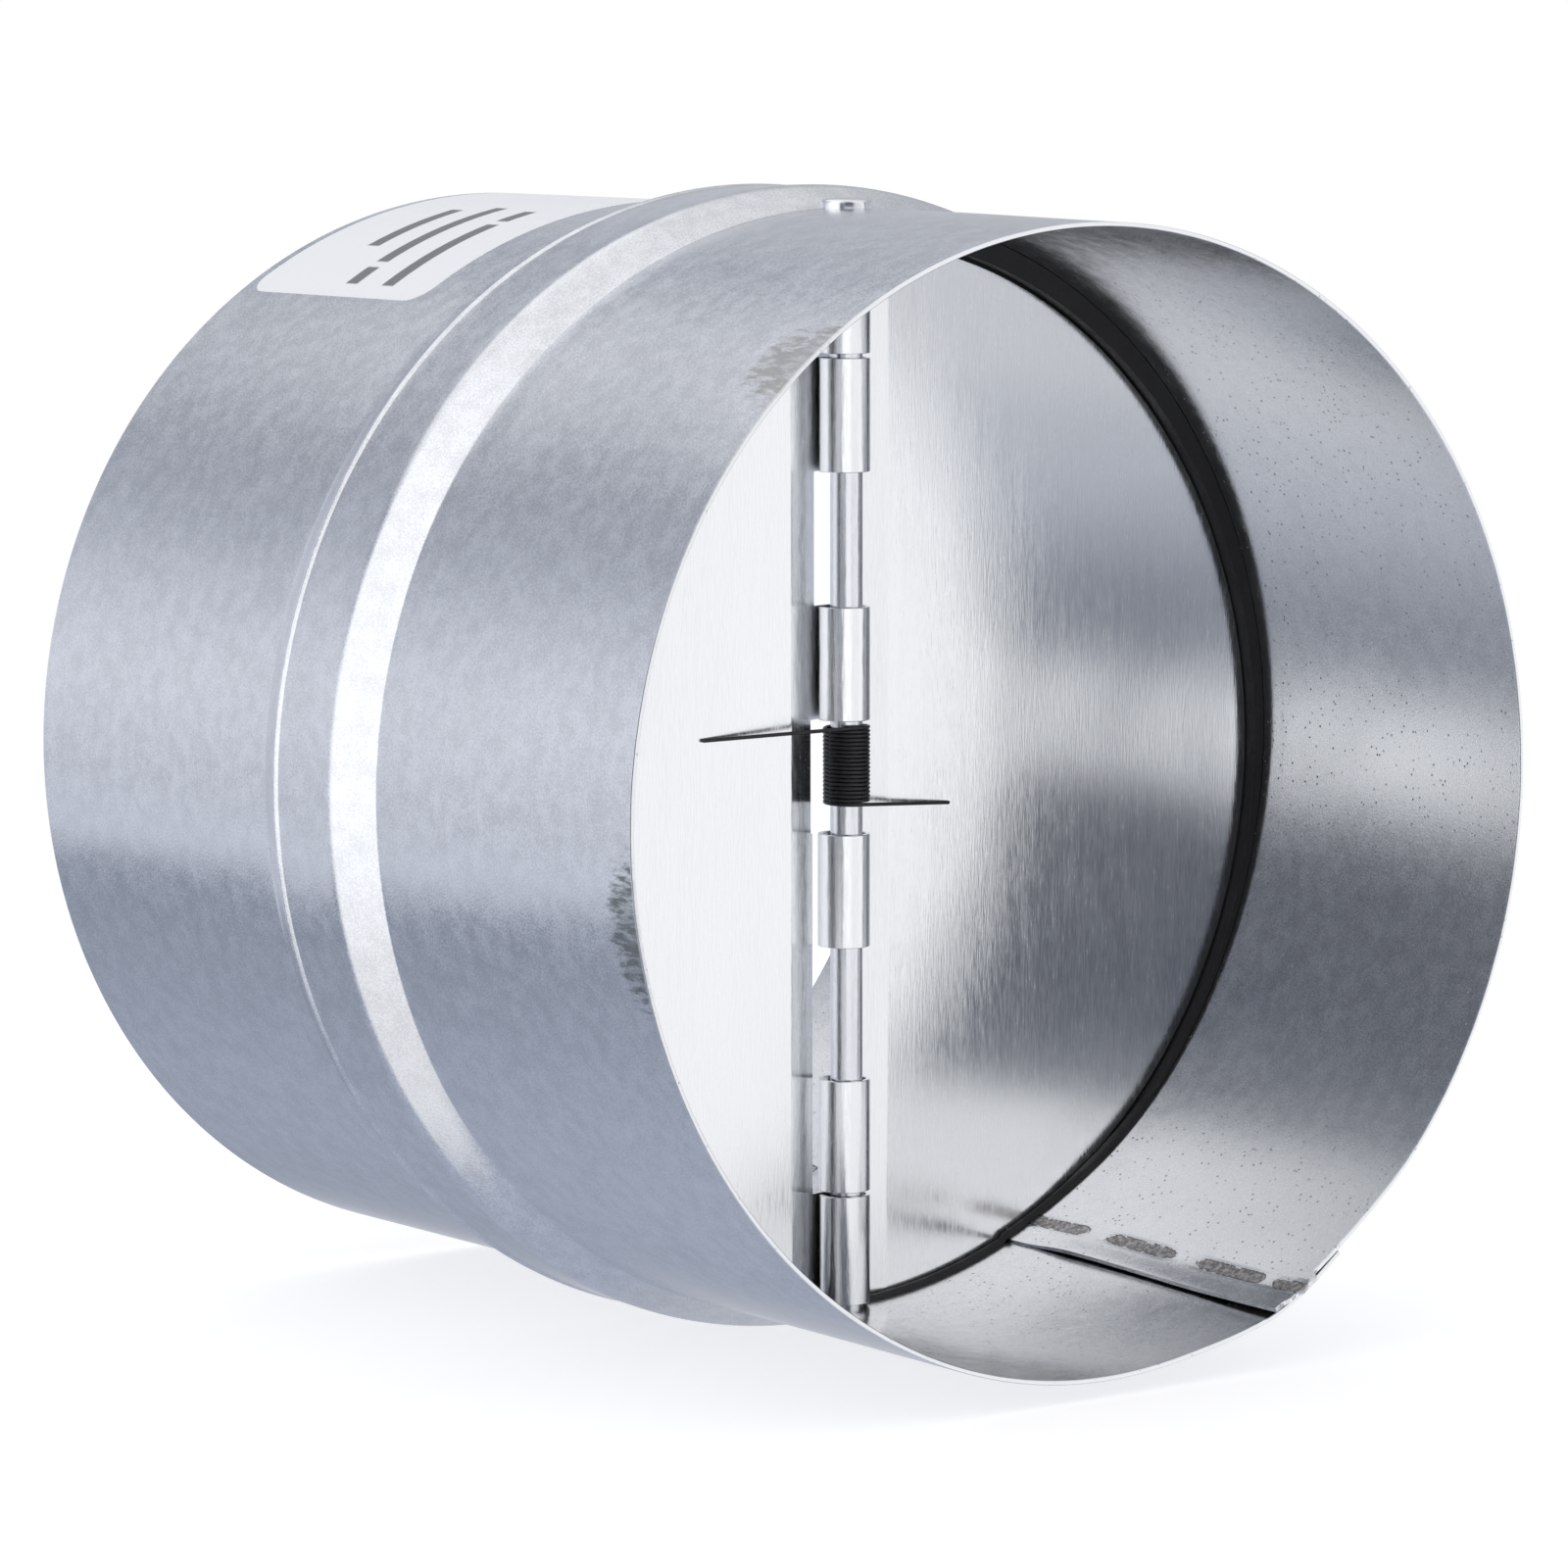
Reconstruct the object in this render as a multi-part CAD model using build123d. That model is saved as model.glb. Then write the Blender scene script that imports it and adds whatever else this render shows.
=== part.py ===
from build123d import *
import math
import os

# All lengths are millimetres; the duct axis is Y, air enters at +Y and leaves at -Y, +Z is up
# The model is drawn about the hinge rod, which stands on Z at y = 0, and is moved along Y
# at the end, so that the origin of the finished part is the centre of the outlet rim

# Casing sheet and its outer profile
SHEET = 0.5
FRONT_Y = -45.0
REAR_Y = 70.0
SPIGOT_R = 62.0
NECK_Y = -4.0
NECK_IN = 0.04
FOOT_FRONT_Y = 1.6
CREST_FRONT_Y = 6.3
CREST_FRONT_R = SPIGOT_R + 2.45
VALLEY_Y = 16.9
VALLEY_R = SPIGOT_R + 2.0
RIDGE_Y = 18.5
RIDGE_R = SPIGOT_R + 2.3
FOOT_REAR_Y = 23.4
BEND_RADII = [0.0, 1.2, 2.4, 1.6, 0.9, 1.6]
BEND_SIGNS = [1, 1, -1, 1, -1, 1]

# Lap seam, low on the side away from the photograph's left
LAP_INNER_DEG = -67.5
LAP_OUTER_DEG = -57.0
LAP_BLEND_DEG = -42.0
LAP_STEP_IN = 0.35
LAP_STEP_OUT = 0.35
TONGUE_OUT = 1.2
TONGUE_GAP = 0.05
TONGUE_DEG = 7.0

# Resistance-weld marks on the lap
WELD_DEG = -63.4
WELD_DEPTH = 0.1
WELD_LENGTH = 9.4
WELD_WIDTH = 2.7
WELD_Y = [-40.2, -32.9, -18.4, -4.4, 33.0, 47.5, 62.0]

# Hinge rod
ROD_R = 1.82
ROD_HOLE_R = 1.85
HEAD_R = 2.95
HEAD_DEPTH = 3.0
HEAD_ROUND = 0.45
HEAD_TOP = SPIGOT_R + 1.1

# Blades: half discs of aluminium sheet
BLADE_T = 0.5
BLADE_FRONT_Y = 1.3
BLADE_CLEAR = 1.85
BLADE_R = SPIGOT_R - SHEET - BLADE_CLEAR
BLADE_SHIFT = 0.4
BLADE_DROP = -1.35
HINGE_Y = 0.45
KNUCKLE_R = 2.93
BEND_DEG = 32.0
ROLL_END_DEG = -200.0
EDGE_OWN = 2.9
EDGE_OTHER = 3.2
EDGE_SPRING = 3.5
KNUCKLE_SPANS = [(BLADE_R - 25.5, BLADE_R - 12.85), (6.4, 19.1), (0.05 - BLADE_R, 12.35 - BLADE_R)]

# Torsion spring
WIRE_R = 0.215
COIL_R = 2.45
COIL_TOP = 4.35
COIL_PITCH = 0.455
COIL_TURNS = 19
LEG_LEFT_X = -19.1
LEG_RIGHT_X = 15.4
LEG_GAP = 0.03
LEG_DROP_LEFT = 0.5
LEG_DROP_RIGHT = 1.2

# Rubber ring in the bead's channel
SEAL_COVER = 2.65
SEAL_INNER_R = BLADE_R - SEAL_COVER
SEAL_REAR_Y = 9.0
SEAL_GAP = 0.06
LIP_FRONT_Y = -0.4
LIP_CLEAR = 0.5
LIP_R = BLADE_R + LIP_CLEAR
LIP_END_LOW = -50.0
LIP_END_HIGH = 230.0
NOTCH_HALF = 3.7
NOTCH_Y = 3.9
NOTCH_WIDE_HALF = 6.4
NOTCH_WIDE_Y = 2.75

# Sticker on the rear spigot
LABEL_FRONT_Y = 33.5
LABEL_REAR_Y = 68.5
LABEL_DEG_A = 124.0
LABEL_DEG_B = 52.0
LABEL_SINK = 0.08
LABEL_T = 0.1
LABEL_CORNER = 3.0


def offset_profile(points, distance):
    """Move an open polyline of (r, y) points inward by a constant distance."""
    lines = []
    for (r0, y0), (r1, y1) in zip(points[:-1], points[1:]):
        length = math.hypot(r1 - r0, y1 - y0)
        dr = (r1 - r0) / length
        dy = (y1 - y0) / length
        lines.append((r0 - dy * distance, y0 + dr * distance, dr, dy))
    moved = [(points[0][0] - distance, points[0][1])]
    for (ra, ya, dra, dya), (rb, yb, drb, dyb) in zip(lines[:-1], lines[1:]):
        det = dra * dyb - dya * drb
        s = ((rb - ra) * dyb - (yb - ya) * drb) / det
        moved.append((ra + s * dra, ya + s * dya))
    moved.append((points[-1][0] - distance, points[-1][1]))
    return moved


def revolved_fill(points, radii, front, rear):
    """Solid inside a profile of (r, y) points about the Y axis, bends rounded."""
    inner = points[1:-1]
    path = [(0, front), (points[0][0], front)] + inner + [(points[-1][0], rear), (0, rear)]
    face = make_face(Polyline(*path, close=True))
    for (r, y), radius in zip(inner, radii):
        if radius > 0:
            corner = min(face.vertices(), key=lambda v: math.hypot(v.X - r, v.Y - y))
            face = fillet(corner, radius)
    return revolve(face, Axis.Y, 360)


def wedge(deg_a, deg_b, y_a, y_b):
    """Sector of space about the Y axis between two angles measured from +X to +Z."""
    reach = 2.0 * SPIGOT_R
    a = math.radians(deg_a)
    b = math.radians(deg_b)
    plan = Plane(origin=(0, y_b, 0), x_dir=(1, 0, 0), z_dir=(0, -1, 0))
    corners = [(0, 0), (reach * math.cos(a), reach * math.sin(a)), (reach * math.cos(b), reach * math.sin(b))]
    face = plan * make_face(Polyline(*corners, close=True))
    return extrude(face, y_b - y_a)


def disc_along_y(radius, x, z, y_a, y_b):
    """Cylinder along Y through (x, z) from y_a to y_b."""
    plan = Plane(origin=(x, y_b, z), x_dir=(1, 0, 0), z_dir=(0, -1, 0))
    return extrude(plan * Circle(radius), y_b - y_a)


def shift_for(step, step_deg, zero_deg):
    """Sideways shift of a cylinder that moves its wall in by step at one angle and 0 at another."""
    turn = math.radians(zero_deg + 90.0)
    size = step / math.sin(math.radians(zero_deg - step_deg))
    return (size * math.cos(turn), 0, size * math.sin(turn))


def point_at(radius, deg, y):
    """Point on a cylinder about the Y axis."""
    return (radius * math.cos(math.radians(deg)), y, radius * math.sin(math.radians(deg)))


# Casing: one strip rolled to a tube, lap welded, with a raised bead rolled in
outer_points = [
    (SPIGOT_R, FRONT_Y),
    (SPIGOT_R, NECK_Y),
    (SPIGOT_R - NECK_IN, FOOT_FRONT_Y),
    (CREST_FRONT_R, CREST_FRONT_Y),
    (VALLEY_R, VALLEY_Y),
    (RIDGE_R, RIDGE_Y),
    (SPIGOT_R, FOOT_REAR_Y),
    (SPIGOT_R, REAR_Y),
]
inner_points = offset_profile(outer_points, SHEET)
inner_radii = [r + s * SHEET if r > 0 else 0.0 for r, s in zip(BEND_RADII, BEND_SIGNS)]
outer_fill = revolved_fill(outer_points, BEND_RADII, FRONT_Y, REAR_Y)
bore_fill = revolved_fill(inner_points, inner_radii, FRONT_Y - 5.0, REAR_Y + 5.0)

bore_shift = shift_for(LAP_STEP_IN, LAP_INNER_DEG, LAP_BLEND_DEG)
outer_shift = shift_for(LAP_STEP_OUT, LAP_OUTER_DEG, LAP_BLEND_DEG)
inner_wedge = wedge(LAP_INNER_DEG, LAP_BLEND_DEG, FRONT_Y - 6.0, REAR_Y + 6.0)
outer_wedge = wedge(LAP_OUTER_DEG, LAP_BLEND_DEG, FRONT_Y - 6.0, REAR_Y + 6.0)
lap_bore = (bore_fill - inner_wedge) + (bore_fill & Pos(*bore_shift) * bore_fill & inner_wedge)
lap_outer = (outer_fill - outer_wedge) + (outer_fill & Pos(*outer_shift) * outer_fill & outer_wedge)
casing = lap_outer - lap_bore

# The inner end of the strip stands a little proud of the front rim
tongue_ring = disc_along_y(SPIGOT_R - SHEET - TONGUE_GAP, 0, 0, FRONT_Y - TONGUE_OUT, FRONT_Y + 1.0)
tongue_ring -= Pos(*bore_shift) * disc_along_y(SPIGOT_R - SHEET, 0, 0, FRONT_Y - 5.0, FRONT_Y + 5.0)
tongue = tongue_ring & wedge(LAP_INNER_DEG, LAP_INNER_DEG + TONGUE_DEG, FRONT_Y - 3.0, FRONT_Y + 3.0)
casing += tongue

# Rod holes at top and bottom, and the pressed marks of the weld electrodes
casing -= Cylinder(ROD_HOLE_R, 2.0 * HEAD_TOP + 2.0 * HEAD_DEPTH)
lap_surface = SPIGOT_R - SHEET - LAP_STEP_IN * math.sin(
    math.radians(LAP_BLEND_DEG - WELD_DEG)) / math.sin(math.radians(LAP_BLEND_DEG - LAP_INNER_DEG))
weld_out = Vector(*point_at(1.0, WELD_DEG, 0))
for weld_y in WELD_Y:
    seat = Plane(origin=point_at(lap_surface - 1.0, WELD_DEG, weld_y), x_dir=(0, 1, 0), z_dir=weld_out)
    casing -= extrude(seat * SlotOverall(WELD_LENGTH, WELD_WIDTH), 1.0 + WELD_DEPTH)

# Shallow seat that lets the sticker lie flush with the spigot
label_ring = disc_along_y(SPIGOT_R - LABEL_SINK + LABEL_T, 0, 0, LABEL_FRONT_Y, LABEL_REAR_Y)
label_ring -= disc_along_y(SPIGOT_R - LABEL_SINK, 0, 0, LABEL_FRONT_Y - 1.0, LABEL_REAR_Y + 1.0)
label = label_ring & wedge(LABEL_DEG_B, LABEL_DEG_A, LABEL_FRONT_Y - 1.0, LABEL_REAR_Y + 1.0)
for end_deg, turn in ((LABEL_DEG_A, -1.0), (LABEL_DEG_B, 1.0)):
    for end_y, way in ((LABEL_FRONT_Y, 1.0), (LABEL_REAR_Y, -1.0)):
        reach_deg = math.degrees(LABEL_CORNER / SPIGOT_R)
        centre = point_at(SPIGOT_R, end_deg + turn * reach_deg, end_y + way * LABEL_CORNER)
        mid_out = Vector(*point_at(1.0, end_deg + turn * reach_deg, 0))
        seat = Plane(origin=centre, x_dir=(0, 1, 0), z_dir=mid_out)
        side = seat.y_dir.dot(Vector(*point_at(1.0, end_deg + turn * (reach_deg + 90.0), 0)))
        corner_square = Pos(-way * LABEL_CORNER, -math.copysign(LABEL_CORNER, side)) * Rectangle(
            2.0 * LABEL_CORNER, 2.0 * LABEL_CORNER)
        cutter = extrude(seat * (corner_square - Circle(LABEL_CORNER)), LABEL_CORNER, both=True)
        label -= cutter
casing -= label

# Hinge rod: plain round bar, its ends hammered over outside the casing
rod = Cylinder(ROD_R, 2.0 * HEAD_TOP - 2.0 * HEAD_ROUND)
for end in (1.0, -1.0):
    blank = Pos(0, 0, end * (HEAD_TOP - HEAD_DEPTH / 2.0)) * Cylinder(HEAD_R, HEAD_DEPTH)
    rim = blank.edges().filter_by(GeomType.CIRCLE).sort_by(Axis.Z)[-1 if end > 0 else 0]
    head = fillet(rim, HEAD_ROUND) - outer_fill
    rod += head

# One blade section in plan, drawn for the left blade about the hinge line
BLADE_MID_Y = BLADE_FRONT_Y + BLADE_T / 2.0
roll_mid_r = KNUCKLE_R - BLADE_T / 2.0
mid_offset = BLADE_MID_Y - HINGE_Y
bend = math.radians(BEND_DEG)
bend_r = (roll_mid_r * math.cos(bend) - mid_offset) / (1.0 - math.cos(bend))
bend_start_x = -roll_mid_r * math.sin(bend) - bend_r * math.sin(bend)
bend_centre_y = BLADE_MID_Y + bend_r


def bend_point(radius, alpha):
    """Point of the gentle bend beside the hinge, alpha from the flat."""
    return (bend_start_x + radius * math.sin(alpha), bend_centre_y - radius * math.cos(alpha))


def leaf_section(alpha_end):
    """Flat sheet and its bend, ending at an angle of the bend, as one face."""
    near = bend_r + BLADE_T / 2.0
    far = bend_r - BLADE_T / 2.0
    half = alpha_end / 2.0
    outline = [
        Line((-BLADE_R - 2.0, BLADE_FRONT_Y), (bend_start_x, BLADE_FRONT_Y)),
        ThreePointArc(bend_point(near, 0.0), bend_point(near, half), bend_point(near, alpha_end)),
        Line(bend_point(near, alpha_end), bend_point(far, alpha_end)),
        ThreePointArc(bend_point(far, alpha_end), bend_point(far, half), bend_point(far, 0.0)),
        Line((bend_start_x, BLADE_FRONT_Y + BLADE_T), (-BLADE_R - 2.0, BLADE_FRONT_Y + BLADE_T)),
        Line((-BLADE_R - 2.0, BLADE_FRONT_Y + BLADE_T), (-BLADE_R - 2.0, BLADE_FRONT_Y)),
    ]
    return make_face(outline)


def roll_point(radius, deg):
    """Point of the rolled knuckle in plan."""
    return (radius * math.cos(math.radians(deg)), HINGE_Y + radius * math.sin(math.radians(deg)))


def roll_section():
    """Curled sheet of a knuckle as one face, from the bend's end round to the leaf."""
    start = 90.0 + BEND_DEG
    middle = (start + ROLL_END_DEG) / 2.0
    bore_r = KNUCKLE_R - BLADE_T
    outline = [
        ThreePointArc(roll_point(KNUCKLE_R, start), roll_point(KNUCKLE_R, middle),
                      roll_point(KNUCKLE_R, ROLL_END_DEG)),
        Line(roll_point(KNUCKLE_R, ROLL_END_DEG), roll_point(bore_r, ROLL_END_DEG)),
        ThreePointArc(roll_point(bore_r, ROLL_END_DEG), roll_point(bore_r, middle),
                      roll_point(bore_r, start)),
        Line(roll_point(bore_r, start), roll_point(KNUCKLE_R, start)),
    ]
    return make_face(outline)


def alpha_for(edge_x):
    """Angle of the bend where the sheet's straight edge is cut."""
    return math.asin((-edge_x - bend_start_x) / bend_r)


def slab(face, z_a, z_b):
    """Extrude a plan face between two heights."""
    return Pos(0, 0, z_a) * extrude(face, z_b - z_a, dir=(0, 0, 1))


leaf_own = leaf_section(alpha_for(EDGE_OWN))
leaf_other = leaf_section(alpha_for(EDGE_OTHER))
leaf_spring = leaf_section(alpha_for(EDGE_SPRING))
leaf_root = leaf_section(bend)
roll = roll_section()

top_z = BLADE_R + 1.0
(k2_low, k2_high), (k3_low, k3_high), (k6_low, k6_high) = KNUCKLE_SPANS
blade = slab(leaf_other, k2_high, top_z)
blade += slab(leaf_root, k2_low, k2_high)
blade += slab(leaf_own, k3_high, k2_low)
blade += slab(leaf_root, k3_low, k3_high)
blade += slab(leaf_spring, -k3_low, k3_low)
blade += slab(leaf_other, k6_high, -k3_low)
blade += slab(leaf_root, -top_z, k6_high)
blade &= disc_along_y(BLADE_R, -BLADE_SHIFT, 0, -10.0, 10.0)
blade -= Pos(0, 0, k6_low - EDGE_OTHER) * Box(2.0 * EDGE_OTHER, 4.0 * KNUCKLE_R, 2.0 * EDGE_OTHER)
for low, high in KNUCKLE_SPANS:
    blade += slab(roll, low, high)

blade_left = Pos(0, 0, BLADE_DROP) * blade
blade_right = Pos(0, 0, BLADE_DROP) * (Rot(0, 180, 0) * blade)

# Torsion spring: close coils round the rod, one leg pressing on each blade
leg_y = BLADE_FRONT_Y - WIRE_R - LEG_GAP


def leave_angle(tip_x):
    """Angle on the coil, at its front, from which a straight leg reaches its tip."""
    away = math.hypot(tip_x, leg_y)
    lean = math.acos(COIL_R / away)
    heading = math.atan2(leg_y, tip_x)
    return heading + lean if tip_x < 0 else heading - lean


angle_top = leave_angle(LEG_LEFT_X) - 2.0 * math.pi
angle_low = leave_angle(LEG_RIGHT_X)
turned = 2.0 * math.pi * COIL_TURNS + (angle_low - angle_top)
coil_height = COIL_PITCH * turned / (2.0 * math.pi)
coil_low = COIL_TOP - coil_height
start_pt = (COIL_R * math.cos(angle_top), COIL_R * math.sin(angle_top), COIL_TOP)
end_pt = (COIL_R * math.cos(angle_low), COIL_R * math.sin(angle_low), coil_low)
helix = Helix(COIL_PITCH, coil_height, COIL_R, lefthand=True)
helix = Pos(0, 0, coil_low) * (Rot(0, 0, math.degrees(angle_low)) * helix)
coil_plane = Plane(origin=helix @ 0, z_dir=helix % 0)
coil = sweep(coil_plane * Circle(WIRE_R), path=helix)
leg_left = Line((LEG_LEFT_X, leg_y, COIL_TOP - LEG_DROP_LEFT), start_pt)
leg_right = Line(end_pt, (LEG_RIGHT_X, leg_y, coil_low - LEG_DROP_RIGHT))
spring = coil
for leg in (leg_left, leg_right):
    leg_plane = Plane(origin=leg @ 0, z_dir=leg % 0)
    spring += sweep(leg_plane * Circle(WIRE_R), path=leg)

# Rubber ring: body in the bead's channel, thin lip on the wall round the blades
channel_points = offset_profile(outer_points, SHEET + SEAL_GAP)
channel_radii = [r + s * (SHEET + SEAL_GAP) if r > 0 else 0.0 for r, s in zip(BEND_RADII, BEND_SIGNS)]
channel_fill = revolved_fill(channel_points, channel_radii, FRONT_Y, REAR_Y)
seal_front_y = BLADE_FRONT_Y + BLADE_T + 0.05
body = channel_fill & disc_along_y(CREST_FRONT_R + 1.0, 0, 0, seal_front_y, SEAL_REAR_Y)
body -= disc_along_y(SEAL_INNER_R, 0, 0, seal_front_y - 1.0, SEAL_REAR_Y + 1.0)
lip = channel_fill & disc_along_y(SPIGOT_R - SHEET, 0, 0, LIP_FRONT_Y, seal_front_y + 0.5)
lip -= disc_along_y(LIP_R, 0, BLADE_DROP, LIP_FRONT_Y - 1.0, seal_front_y + 1.0)
lip -= wedge(LIP_END_HIGH - 360.0, LIP_END_LOW, LIP_FRONT_Y - 1.0, seal_front_y + 1.0)
seal = body + lip
notch_start = LIP_FRONT_Y - 2.0
for end in (1.0, -1.0):
    for half, depth in ((NOTCH_HALF, NOTCH_Y), (NOTCH_WIDE_HALF, NOTCH_WIDE_Y)):
        notch_mid = (depth + notch_start) / 2.0
        notch_height = 2.0 * (CREST_FRONT_R - SEAL_INNER_R)
        notch_z = end * (SEAL_INNER_R + notch_height / 4.0)
        seal -= Pos(0, notch_mid, notch_z) * Box(2.0 * half, depth - notch_start, notch_height)
lap_clear = (channel_fill - Pos(*bore_shift) * channel_fill) & wedge(
    LAP_INNER_DEG - 0.2, LAP_BLEND_DEG, LIP_FRONT_Y - 1.0, SEAL_REAR_Y + 1.0)
seal -= lap_clear

os.makedirs("parts", exist_ok=True)
pieces = {
    "casing": casing,
    "hinge_rod": rod,
    "blade_left": blade_left,
    "blade_right": blade_right,
    "torsion_spring": spring,
    "seal_ring": seal,
    "sticker": label,
}
for name, drawn in pieces.items():
    piece = Pos(0, -FRONT_Y, 0) * drawn
    export_step(piece, os.path.join("parts", name + ".step"))
    box = piece.bounding_box()
    print(name, "solids", len(piece.solids()), "volume", round(piece.volume, 2),
          "box", [round(v, 2) for v in (*box.min, *box.max)])
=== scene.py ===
import bpy
import math
import mathutils
import numpy as np
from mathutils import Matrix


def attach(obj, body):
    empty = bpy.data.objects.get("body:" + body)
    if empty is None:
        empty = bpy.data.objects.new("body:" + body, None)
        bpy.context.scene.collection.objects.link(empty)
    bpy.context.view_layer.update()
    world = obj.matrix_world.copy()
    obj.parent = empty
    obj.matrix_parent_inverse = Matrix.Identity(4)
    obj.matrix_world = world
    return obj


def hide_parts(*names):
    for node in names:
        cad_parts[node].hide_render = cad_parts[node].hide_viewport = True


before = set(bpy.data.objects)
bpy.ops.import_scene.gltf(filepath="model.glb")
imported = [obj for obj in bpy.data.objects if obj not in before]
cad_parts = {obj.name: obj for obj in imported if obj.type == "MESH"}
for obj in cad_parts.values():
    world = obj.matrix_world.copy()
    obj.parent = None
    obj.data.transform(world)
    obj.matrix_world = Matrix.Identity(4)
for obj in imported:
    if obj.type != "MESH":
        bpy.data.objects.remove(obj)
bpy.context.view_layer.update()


# Casing: one strip of zinc-coated steel, rolled to a tube with a raised bead near its middle.
# Its two ends lap low on the right and are resistance welded from the inside, which leaves
# a row of rough oval marks. The outlet end is slightly out of round, and torn at the lap.
MM = 0.001
SHEET = 0.5
SPIGOT_R = 62.0
REAR_Y = 115.0
BEAD_LINE = [(SPIGOT_R, 0.0), (SPIGOT_R, 41.0), (61.94, 46.6), (64.45, 51.7), (64.06, 62.4),
             (64.28, 63.05), (SPIGOT_R, 68.2), (SPIGOT_R, REAR_Y)]
BEND_RADII = [3.0, 0.8, 3.6, 0.4, 0.35, 0.9]
ARC_STEP = 0.35
RUN_STEP = 1.6
EDGE_BREAK = 0.08
EDGE_PARTS = [0.15, 0.5, 0.85]
LAP_INNER_DEG = -67.5
LAP_OUTER_DEG = 303.0
LAP_COVER_DEG = LAP_OUTER_DEG - 360.0
LAP_BLEND_DEG = -42.0
LAP_FINE_DEG = (-56.0, 290.0)
LAP_STEP_DEG = 0.25
ROUND_STEP_DEG = 1.25
PAST_END_DEG = 0.01
LAP_DROP = 0.52
LAP_THIN = 0.17
LAP_CURL = 0.3
LAP_CURL_DEG = 3.5
LAP_CURL_END_Y = (34.0, 42.0)
LAP_HELD_IN = 0.3
LAP_HELD_DEG = (-64.0, -54.0)
LAP_HELD_Y = (0.0, 16.0)
RIM_MEAN = -0.09
RIM_WAVES = [(1.0, 0.55, 2.56), (2.0, 0.62, 2.09), (3.0, 0.26, -1.98)]
RIM_ERROR_Y = (-6.0, 41.0)
FLARE = 1.06
FLARE_DEG = -66.0
FLARE_WIDTH_DEG = 8.0
# Width of the painted highlight along both rims of the casing, in millimetres.
RIM_SHEEN_REACH = 1.2
TONGUE_OUT = 1.2
TONGUE_DEG = 7.0
TONGUE_EDGE_DEG = 1.2
TONGUE_TORN = 0.45
RIM_TORN = 0.05
TORN_SEED = 5
TOOTH_SPAN_DEG = (-68.0, 304.0)
TOOTH_STEP_DEG = 0.5
PULL_REACH = 1.4
WELD_DEG = -63.4
WELD_HALF_LENGTH = 5.6
WELD_HALF_WIDTH = 0.8
WELD_SPREAD = 2.4
WELD_EDGE = (0.25, 0.6)
WELD_DEPTH = 0.1
WELD_Y = [-1.5, 11.3, 26.1, 40.6, 78.0, 92.5, 107.0]


def smooth_step(low, high, value):
    """Zero below low, one above high, and a cubic ease between them."""
    part = np.clip((value - low) / (high - low), 0.0, 1.0)
    return part * part * (3.0 - 2.0 * part)


def rounded_line(corners, radii, arc_step, run_step):
    """Polyline of (r, y) points whose inner corners are arcs of the given radii, cut into short steps."""
    corners = np.array(corners, dtype=float)
    points = [corners[0]]
    for index, radius in enumerate(radii):
        before, corner, after = corners[index:index + 3]
        way_in = (before - corner) / np.linalg.norm(before - corner)
        way_out = (after - corner) / np.linalg.norm(after - corner)
        half = 0.5 * math.acos(float(np.clip(way_in @ way_out, -1.0, 1.0)))
        reach = radius / math.tan(half)
        middle = (way_in + way_out) / np.linalg.norm(way_in + way_out)
        centre = corner + middle * radius / math.sin(half)
        spokes = np.array([corner + way_in * reach - centre, corner + way_out * reach - centre])
        sweep = math.pi - 2.0 * half
        count = max(3, int(math.ceil(sweep * radius / arc_step)) + 1)
        turn = np.linspace(0.0, 1.0, count)[:, None]
        arc = np.sin((1.0 - turn) * sweep) * spokes[0] + np.sin(turn * sweep) * spokes[1]
        points.extend(centre + arc / math.sin(sweep))
    points.append(corners[-1])
    line = [points[0]]
    for here, there in zip(points[:-1], points[1:]):
        pieces = max(1, int(math.ceil(np.linalg.norm(there - here) / run_step)))
        line.extend(here + (there - here) * part / pieces for part in range(1, pieces + 1))
    return np.array(line)


def new_piece(name, points, faces):
    """Object with a mesh of points in millimetres and faces, linked to the scene."""
    mesh = bpy.data.meshes.new(name)
    mesh.from_pydata((points * MM).tolist(), [], faces)
    mesh.update()
    piece = bpy.data.objects.new(name, mesh)
    bpy.context.scene.collection.objects.link(piece)
    return piece


def grid_piece(name, points, wrap_v=False, caps=False):
    """Mesh of a grid of points (u, v, xyz) in millimetres; faces point to u cross v, ends may be capped."""
    count_u, count_v = points.shape[:2]
    index = np.arange(count_u * count_v).reshape(count_u, count_v)
    cols = np.arange(count_v if wrap_v else count_v - 1)
    row, col = np.meshgrid(np.arange(count_u - 1), cols, indexing="ij")
    next_row = row + 1
    next_col = (col + 1) % count_v
    quads = np.stack([index[row, col], index[next_row, col], index[next_row, next_col],
                      index[row, next_col]], axis=-1).reshape(-1, 4)
    faces = quads.tolist()
    if caps:
        faces.append(index[0].tolist())
        faces.append(index[-1][::-1].tolist())
    return new_piece(name, points.reshape(-1, 3), faces)


def shade_smooth(piece, sharp_deg):
    """Smooth shading with hard edges where neighbouring faces turn by more than an angle."""
    mesh = piece.data
    mesh.polygons.foreach_set("use_smooth", np.ones(len(mesh.polygons), dtype=bool))
    mesh.set_sharp_from_angle(angle=math.radians(sharp_deg))
    mesh.update()


def point_values(piece, name, values):
    """Store one number for each vertex under a name that a material can read."""
    layer = piece.data.attributes.new(name, "FLOAT", "POINT")
    layer.data.foreach_set("value", values.astype(np.float32).ravel())


def rim_error(deg):
    """Outlet end out of round: a mean, three waves round the tube and a flare beside the lap."""
    turn = np.radians(deg)
    error = np.full_like(turn, RIM_MEAN)
    for count, size, phase in RIM_WAVES:
        error = error + size * np.cos(count * turn + phase)
    off = (deg - FLARE_DEG + 180.0) % 360.0 - 180.0
    return error + FLARE * np.exp(-(off / FLARE_WIDTH_DEG) ** 2)


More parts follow.
